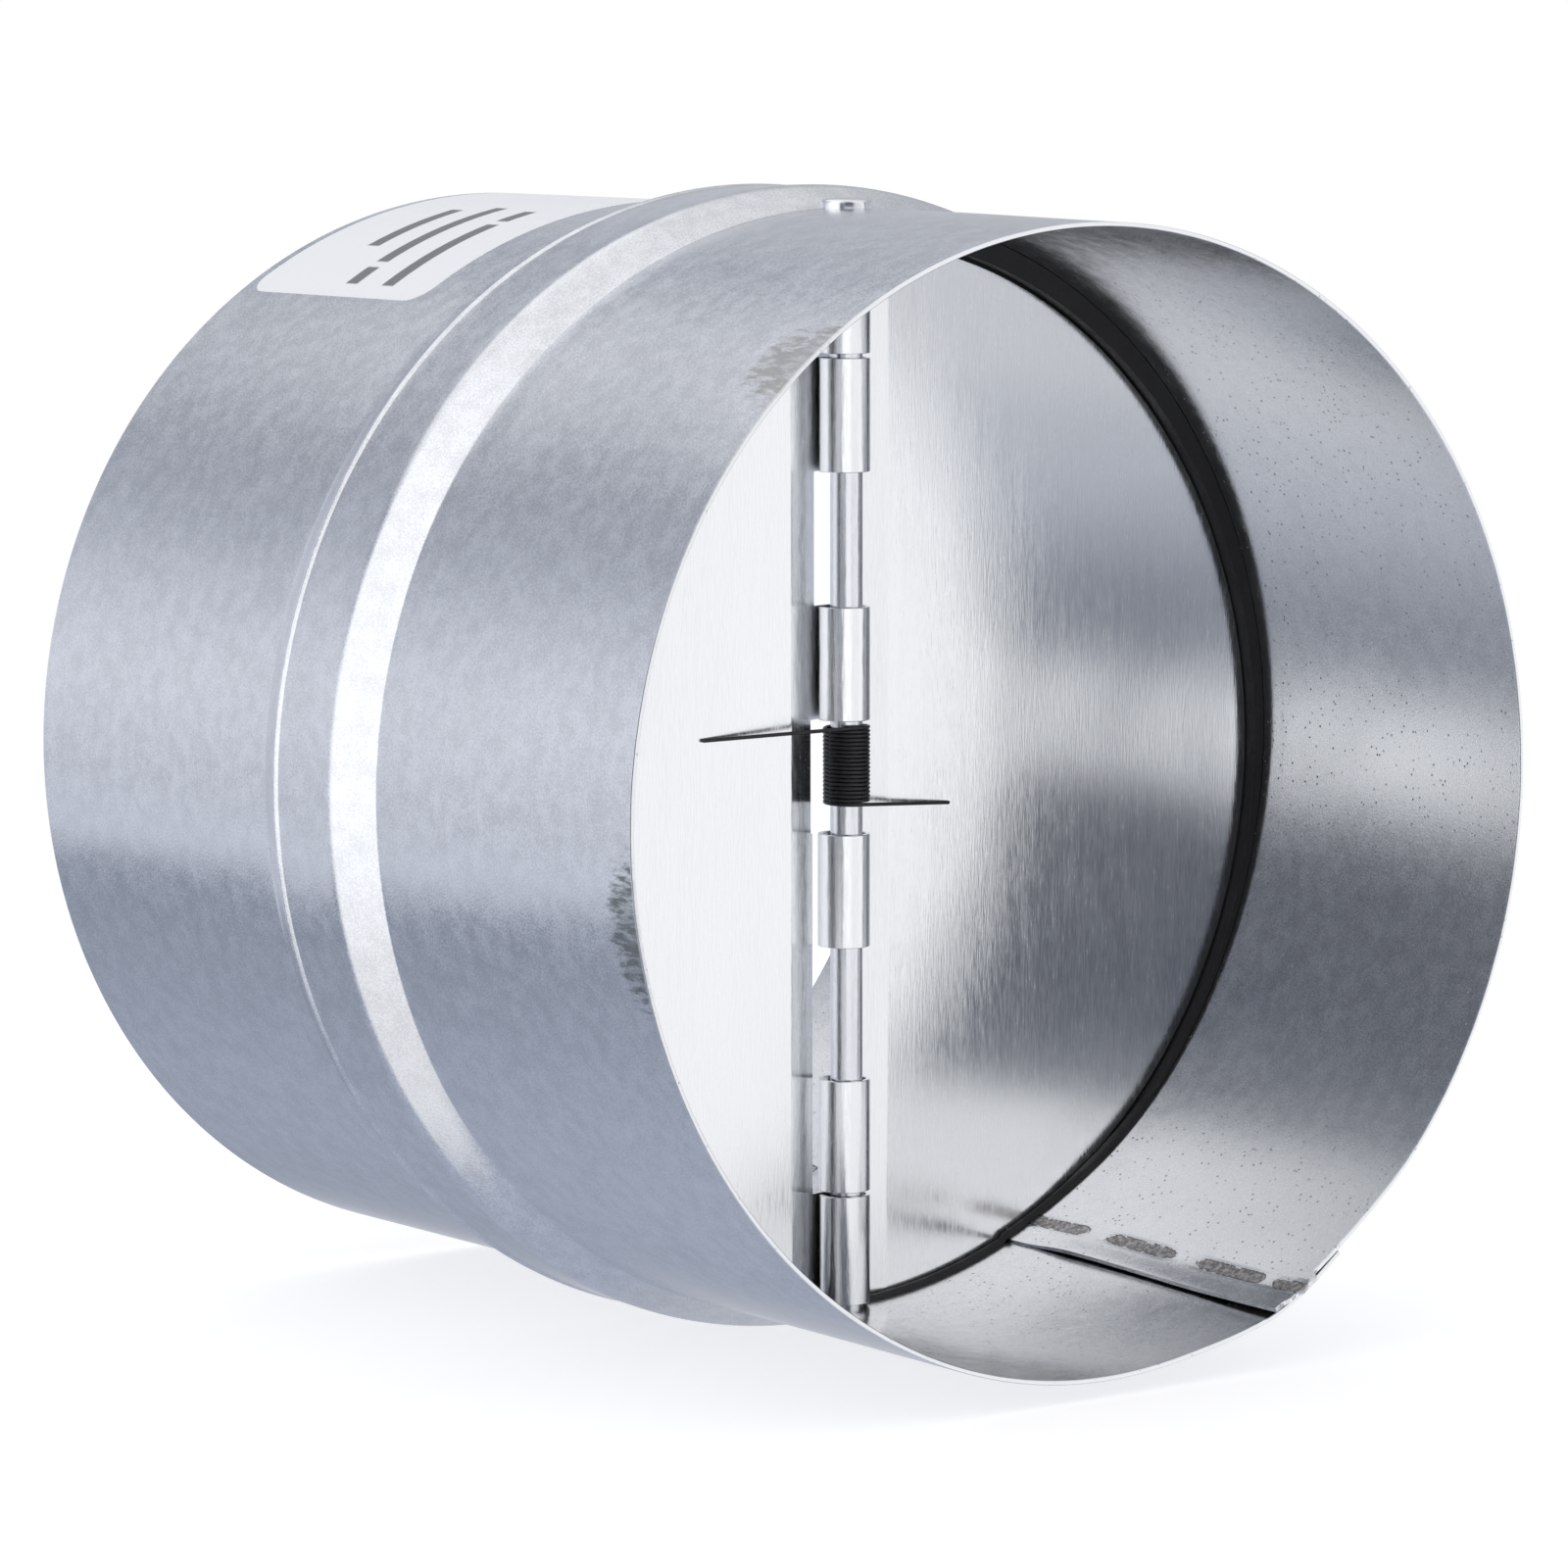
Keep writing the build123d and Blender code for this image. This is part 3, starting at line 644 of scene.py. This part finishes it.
aluminium, tree, shader, grain = plain_finish(
    "mill_aluminium", 0.09, (5200.0, 900.0, 0.4, 0.34),
    ((0.86, 0.87, 0.89, 1.0), (0.94, 0.95, 0.96, 1.0)), (0.3, 0.7), (0.14, 0.28), 1.0)
waves = add_node(tree, "ShaderNodeBump", {"Strength": 0.5, "Distance": 0.0004,
                                          "Normal": grain.outputs["Normal"],
                                          "Height": noise(tree, object_place(tree), 55.0, 1.0)})
tree.links.new(waves.outputs["Normal"], shader.inputs["Normal"])
blade_grids = [leaf_grid()] + [knuckle_grid(low, high) for low, high in KNUCKLE_SPANS]
for name, node_name, body, turned in (("left_stamping", "blade_left", "left_blade", False),
                                      ("right_stamping", "blade_right", "right_blade", True)):
    stamping = join_grids(name, blade_grids, turned)
    shade_smooth(stamping, sharp_deg=32.0)
    stamping.data.materials.append(aluminium)
    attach(stamping, body)
    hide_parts(node_name)


# Torsion spring: one black music wire wound in about nineteen close coils round the hinge rod.
# A straight leg leaves each end of the coil and presses on the front of its blade. The coil
# stays with the casing, and each leg swings with its blade, so its root slides round the coil.
ROD_Y = 45.0
WIRE_R = 0.215
COIL_R = 2.45
COIL_TOP = 4.35
COIL_PITCH = 0.455
COIL_TURNS = 19.0
COIL_POINTS = 520
COIL_SIDES = 10
LEG_POINTS = 24
LEG_SIDES = 12
LEG_Y = 1.055
LEFT_TIP = (-19.1, 3.85)
RIGHT_TIP = (15.4, -5.5)
leave_left = math.atan2(LEG_Y, LEFT_TIP[0]) + math.acos(COIL_R / math.hypot(LEFT_TIP[0], LEG_Y))
leave_right = math.atan2(LEG_Y, RIGHT_TIP[0]) - math.acos(COIL_R / math.hypot(RIGHT_TIP[0], LEG_Y))


def tube_grid(path, radius, sides):
    """Round tube along a path of points: a ring of the given radius square to the path at each point."""
    along = np.gradient(path, axis=0)
    along /= np.linalg.norm(along, axis=1, keepdims=True)
    side = np.cross(along, np.array([0.0, 0.0, 1.0]))
    side /= np.linalg.norm(side, axis=1, keepdims=True)
    top = np.cross(side, along)
    around = np.linspace(0.0, 2.0 * math.pi, sides, endpoint=False)[None, :, None]
    ring = side[:, None, :] * np.cos(around) + top[:, None, :] * np.sin(around)
    return path[:, None, :] + ring * radius


def coil_point(turn, height):
    """Point of the wire's middle line at an angle round the rod."""
    return (COIL_R * math.cos(turn), ROD_Y + COIL_R * math.sin(turn), height)


coil_from = leave_left - 2.0 * math.pi
coil_to = leave_right + 2.0 * math.pi * COIL_TURNS
coil_turn = np.linspace(coil_from, coil_to, COIL_POINTS)
coil_z = COIL_TOP - COIL_PITCH * (coil_turn - coil_from) / (2.0 * math.pi)
coil_path = np.array([coil_point(turn, height) for turn, height in zip(coil_turn, coil_z)])
coil = grid_piece("spring_coil", tube_grid(coil_path, WIRE_R, COIL_SIDES)[::-1], wrap_v=True, caps=True)
wire = plain_finish("black_spring_wire", None, (5000.0, 900.0, 0.5, 0.3),
                    ((0.003, 0.003, 0.004, 1.0), (0.014, 0.014, 0.016, 1.0)), None, (0.30, 0.46), 0.0)[0]
spring_pieces = [(coil, "frame")]
for name, body, (tip_x, tip_z), turn, height in (
        ("spring_leg_left", "left_blade", LEFT_TIP, leave_left, COIL_TOP),
        ("spring_leg_right", "right_blade", RIGHT_TIP, leave_right, coil_z[-1])):
    part = np.linspace(0.0, 1.0, LEG_POINTS)[:, None]
    tip = np.array((tip_x, ROD_Y + LEG_Y, tip_z))
    leg_path = tip * (1.0 - part) + np.array(coil_point(turn, height)) * part
    leg = grid_piece(name, tube_grid(leg_path, WIRE_R, LEG_SIDES)[::-1], wrap_v=True, caps=True)
    spring_pieces.append((leg, body))
for piece, body in spring_pieces:
    shade_smooth(piece, sharp_deg=50.0)
    piece.data.materials.append(wire)
    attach(piece, body)
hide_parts("torsion_spring")


# Hinge rod: a drawn steel bar right across the duct, through a hole at the top and one at the
# bottom. Its ends stand out of the casing and are hammered over into low heads.
ROD_R = 1.82
HEAD_R = 2.95
HEAD_TOP = 63.1
HEAD_SEAT = 61.62
ROD_LINE = [(0.0, HEAD_TOP), (1.5, HEAD_TOP - 0.01), (2.3, HEAD_TOP - 0.07), (2.72, HEAD_TOP - 0.18),
            (2.88, HEAD_TOP - 0.32), (HEAD_R, HEAD_TOP - 0.5), (HEAD_R, HEAD_TOP - 1.1),
            (HEAD_R, HEAD_SEAT), (ROD_R, HEAD_SEAT)]
ROD_SIDES = 64
SHAFT_STEPS = 60
SHAFT_IN = 0.4
DENTS = [(3.0, 0.018, 0.7), (7.0, 0.012, 0.0)]
DENT_SHARE = 0.6
HEAD_SHRINK = 0.02
HEAD_FROM_R = (2.0, 2.9)


def rod_grid():
    """Turned line of a bar with a head at both ends, carried round its axis; the heads are drawn in
    a little and dented by two waves round them."""
    head = np.array(ROD_LINE)
    shaft_z = np.linspace(HEAD_SEAT - SHAFT_IN, -HEAD_SEAT + SHAFT_IN, SHAFT_STEPS)
    line_r = np.concatenate([head[:, 0], np.full(SHAFT_STEPS, ROD_R), head[::-1, 0]])
    line_z = np.concatenate([head[:, 1], shaft_z, -head[::-1, 1]])
    turn = np.linspace(0.0, 2.0 * math.pi, ROD_SIDES, endpoint=False)
    dented = sum(size * np.sin(count * turn + phase) for count, size, phase in DENTS)[None, :]
    head_share = smooth_step(*HEAD_FROM_R, line_r)[:, None]
    reach = line_r[:, None] * (1.0 - HEAD_SHRINK * head_share + DENT_SHARE * head_share * dented)
    height = np.repeat(line_z[:, None], ROD_SIDES, axis=1)
    return np.stack([reach * np.cos(turn), ROD_Y + reach * np.sin(turn), height], axis=-1)


rod = grid_piece("rod_drawn", rod_grid(), wrap_v=True)
shade_smooth(rod, sharp_deg=40.0)
rod.data.materials.append(plain_finish(
    "drawn_rod_steel", 0.1, (6000.0, 500.0, 0.4, 0.25),
    ((0.70, 0.71, 0.74, 1.0), (0.86, 0.87, 0.90, 1.0)), (0.3, 0.7), (0.16, 0.28), 1.0)[0])
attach(rod, "frame")
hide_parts("hinge_rod")


# Sticker: a white paper label on the rear spigot, over the top of the tube. In place of print
# it has five plain dark bars, in three rows that run round the tube.
BARS = [(87.7, 107.0, 121.5), (87.7, 102.0, 105.5), (95.0, 101.0, 117.0), (95.0, 118.5, 121.5),
        (101.7, 102.5, 113.7)]
BAR_HALF = 1.0
BAR_BLUR = 0.3
BAR_END_BLUR = 0.006


def label_finish():
    """White paper with a faint fibre, and dark bars: each at one place along the tube, between two
    angles from the right side upwards, with slightly soft edges."""
    finish, tree, shader = new_finish("label_paper_white")
    place = object_place(tree)
    axes = add_node(tree, "ShaderNodeSeparateXYZ", {0: place})
    label_turn = math_node(tree, "ARCTAN2", axes.outputs["Z"], axes.outputs["X"])
    fibre = noise(tree, place, 2400.0, 3.0, 0.6)
    ink = None
    for row_y, from_deg, to_deg in BARS:
        across = math_node(tree, "ABSOLUTE", math_node(tree, "SUBTRACT", axes.outputs["Y"], row_y * MM))
        bar = ease(tree, across, BAR_HALF * MM, (BAR_HALF + BAR_BLUR) * MM, 1.0, 0.0)
        middle = math.radians((from_deg + to_deg) / 2.0)
        half = math.radians((to_deg - from_deg) / 2.0)
        off = math_node(tree, "ABSOLUTE", math_node(tree, "SUBTRACT", label_turn, middle))
        bar = times(tree, bar, ease(tree, off, half, half + BAR_END_BLUR, 1.0, 0.0))
        ink = bar if ink is None else math_node(tree, "MAXIMUM", ink, bar)
    sheet_tone = mix_colour(tree, fibre, (0.90, 0.91, 0.94, 1.0), (0.96, 0.965, 0.98, 1.0))
    tone = mix_colour(tree, times(tree, ink, 0.88), sheet_tone, (0.08, 0.08, 0.10, 1.0))
    tree.links.new(tone, shader.inputs["Base Color"])
    tree.links.new(ease(tree, fibre, 0.3, 0.7, 0.42, 0.58), shader.inputs["Roughness"])
    bump = add_node(tree, "ShaderNodeBump", {"Strength": 0.15, "Distance": 0.00003, "Height": fibre})
    tree.links.new(bump.outputs["Normal"], shader.inputs["Normal"])
    return finish


dress("sticker", label_finish())


# Studio: a pale floor under the part, and soft light all round from the world alone. Its bright
# and dim sides were set from how bright the metal is in the photograph, and moved until
# the reflections lay about where the photograph has them. Only the camera sees the background
# white: metal mirrors those sides in its place. The camera stands low on the left of the outlet,
# as it did for the photograph.
FLOOR_Z = -64.6
FLOOR_MIDDLE_Y = 57.0
FLOOR_REACH = 300.0
FLOOR_RINGS = 40
FLOOR_SIDES = 96
FLOOR_GLOW = 0.62
WHITE = (1.0, 1.0, 1.0, 1.0)


def floor_finish():
    """Matt pale floor that also glows for the camera, and that reflections pass straight through,
    so that metal mirrors the studio's light from below."""
    finish, tree, shader = new_finish("pale_floor")
    tree.nodes.remove(shader)
    matt = add_node(tree, "ShaderNodeBsdfDiffuse", {"Color": (0.60, 0.60, 0.61, 1.0)})
    ray = add_node(tree, "ShaderNodeLightPath")
    strength = times(tree, ray.outputs["Is Camera Ray"], FLOOR_GLOW)
    glow = add_node(tree, "ShaderNodeEmission", {"Color": WHITE, "Strength": strength})
    lit = add_node(tree, "ShaderNodeAddShader", {0: matt.outputs[0], 1: glow.outputs[0]})
    clear = add_node(tree, "ShaderNodeBsdfTransparent")
    mirrored = math_node(tree, "MAXIMUM", ray.outputs["Is Glossy Ray"], ray.outputs["Is Transmission Ray"])
    both = add_node(tree, "ShaderNodeMixShader", {0: mirrored, 1: lit.outputs[0], 2: clear.outputs[0]})
    tree.links.new(both.outputs[0], tree.nodes["Material Output"].inputs["Surface"])
    return finish


floor_r = np.linspace(0.0, FLOOR_REACH, FLOOR_RINGS)
floor_turn = np.linspace(0.0, 2.0 * math.pi, FLOOR_SIDES, endpoint=False)
floor_grid = np.stack([np.outer(floor_r, np.cos(floor_turn)),
                       FLOOR_MIDDLE_Y + np.outer(floor_r, np.sin(floor_turn)),
                       np.full((FLOOR_RINGS, FLOOR_SIDES), FLOOR_Z)], axis=-1)
floor = grid_piece("studio_floor", floor_grid, wrap_v=True)
floor.data.materials.append(floor_finish())

studio = bpy.data.worlds.new("soft_studio")
bpy.context.scene.world = studio
studio.use_nodes = True
tree = studio.node_tree
sky = tree.nodes["Background"]
DEG = 180.0 / math.pi
direction = add_node(tree, "ShaderNodeTexCoord").outputs["Generated"]
way = add_node(tree, "ShaderNodeSeparateXYZ", {0: direction})
height = times(tree, math_node(tree, "ARCSINE", way.outputs["Z"]), DEG)
height_share = math_node(tree, "DIVIDE", math_node(tree, "ADD", height, 90.0), 180.0)
bearing = times(tree, math_node(tree, "ARCTAN2", way.outputs["X"], way.outputs["Y"]), DEG)
round_bearing = math_node(tree, "WRAP", bearing, 420.0, 60.0)
GREY = (0.99, 0.995, 1.01)
BLUENESS = (-0.17, -0.07, 0.16)


def column(*stops):
    """Light of one side of the studio by height: stops of (degrees above level, strength, blueness)."""
    ramp = add_node(tree, "ShaderNodeValToRGB", {0: height_share})
    points = ramp.color_ramp.elements
    for spot, (deg, level, blue) in enumerate(stops):
        share = (deg + 90.0) / 180.0
        if spot == 0:
            stop = points[0]
        elif spot == len(stops) - 1:
            stop = points[-1]
        else:
            stop = points.new(share)
        stop.position = share
        stop.color = [level * (grey + blue * shift) for grey, shift in zip(GREY, BLUENESS)] + [1.0]
    return ramp.outputs["Color"]


side = column((-90, 0.50, 0.5), (-20, 0.62, 0.3), (-12, 0.86, 0.1), (-4, 0.86, 0.1), (-1, 0.62, 0.2),
              (14, 0.50, 0.3), (30, 0.60, 0.1), (50, 0.90, 0.0), (90, 0.97, 0.0))
right = column((-90, 0.46, 0.5), (-18, 0.30, 0.5), (-12, 0.20, 0.5), (12, 0.22, 0.4), (30, 0.50, 0.2),
               (50, 0.90, 0.0), (90, 0.97, 0.0))
front_right = column((-90, 0.80, 0.1), (-45, 0.90, 0.1), (-30, 0.90, 0.1), (-18, 0.98, 0.1),
                     (-14, 1.08, 0.0), (4, 1.08, 0.0), (12, 1.04, 0.0), (36, 1.12, 0.0),
                     (60, 1.05, 0.0), (90, 0.97, 0.0))
front = column((-90, 0.80, 0.1), (-45, 0.86, 0.1), (-30, 0.83, 0.1), (-18, 0.88, 0.1), (-14, 0.95, 0.0),
               (4, 0.95, 0.0), (12, 0.95, 0.0), (36, 1.06, 0.0), (60, 1.03, 0.0), (90, 0.97, 0.0))
front_left = column((-90, 0.72, 0.2), (-38, 0.74, 0.3), (-31, 0.58, 0.5), (-22, 0.32, 0.7),
                    (-14.5, 0.36, 0.6), (-11.5, 0.95, 0.1), (-9, 1.34, 0.0), (0.5, 1.34, 0.0),
                    (3.2, 0.58, 0.2), (5.5, 0.15, 0.9), (14, 0.12, 1.0), (28, 0.13, 1.0),
                    (35, 0.18, 0.8), (43, 0.34, 0.4), (60, 0.85, 0.0), (90, 0.97, 0.0))
left = column((-90, 0.90, 0.1), (-57, 1.0, 0.0), (-37, 1.0, 0.0), (-26, 1.20, 0.0), (-10, 1.36, 0.0),
              (5, 1.40, 0.0), (60, 1.25, 0.0), (90, 0.97, 0.0))
behind = column((-90, 0.54, 0.8), (-38, 0.51, 0.8), (-32, 0.45, 0.8), (-21, 0.38, 0.8),
                (-17.4, 0.38, 0.8), (-16.2, 0.80, 0.4), (-8, 0.70, 0.4), (1.3, 0.83, 0.3),
                (8, 0.82, 0.3), (16, 0.68, 0.4), (22, 0.52, 0.5), (30, 0.44, 0.5), (34, 0.66, 0.2),
                (39, 0.96, 0.1), (46, 1.15, 0.0), (90, 0.97, 0.0))
light = side
for from_deg, to_deg, next_side in ((112.0, 118.0, right), (122.0, 129.0, front_right),
                                    (140.0, 147.0, front), (180.0, 195.0, front_left),
                                    (220.5, 228.0, right), (250.0, 258.0, left),
                                    (296.0, 316.0, behind), (380.0, 400.0, side)):
    light = mix_colour(tree, ease(tree, round_bearing, from_deg, to_deg), light, next_side)
seen = add_node(tree, "ShaderNodeLightPath").outputs["Is Camera Ray"]
tree.links.new(mix_colour(tree, seen, light, WHITE), sky.inputs["Color"])
sky.inputs["Strength"].default_value = 1.0

CAMERA_AIM = mathutils.Vector((0.0, ROD_Y * MM, 0.0))
CAMERA_DISTANCE = 0.75094
CAMERA_BEARING = math.radians(-37.62)
CAMERA_HEIGHT = math.radians(6.577)
toward = mathutils.Vector((math.sin(CAMERA_BEARING) * math.cos(CAMERA_HEIGHT),
                           -math.cos(CAMERA_BEARING) * math.cos(CAMERA_HEIGHT), math.sin(CAMERA_HEIGHT)))
lens = bpy.data.cameras.new("photo_camera")
lens.lens = 154.34
lens.sensor_width = 36.0
lens.shift_x = -0.03986
lens.shift_y = -0.01243
lens.clip_start = 0.01
lens.clip_end = 20.0
camera = bpy.data.objects.new("photo_camera", lens)
bpy.context.scene.collection.objects.link(camera)
camera.location = CAMERA_AIM + toward * CAMERA_DISTANCE
camera.rotation_euler = toward.to_track_quat("Z", "Y").to_euler()
bpy.context.scene.camera = camera
bpy.context.scene.view_settings.view_transform = "Standard"
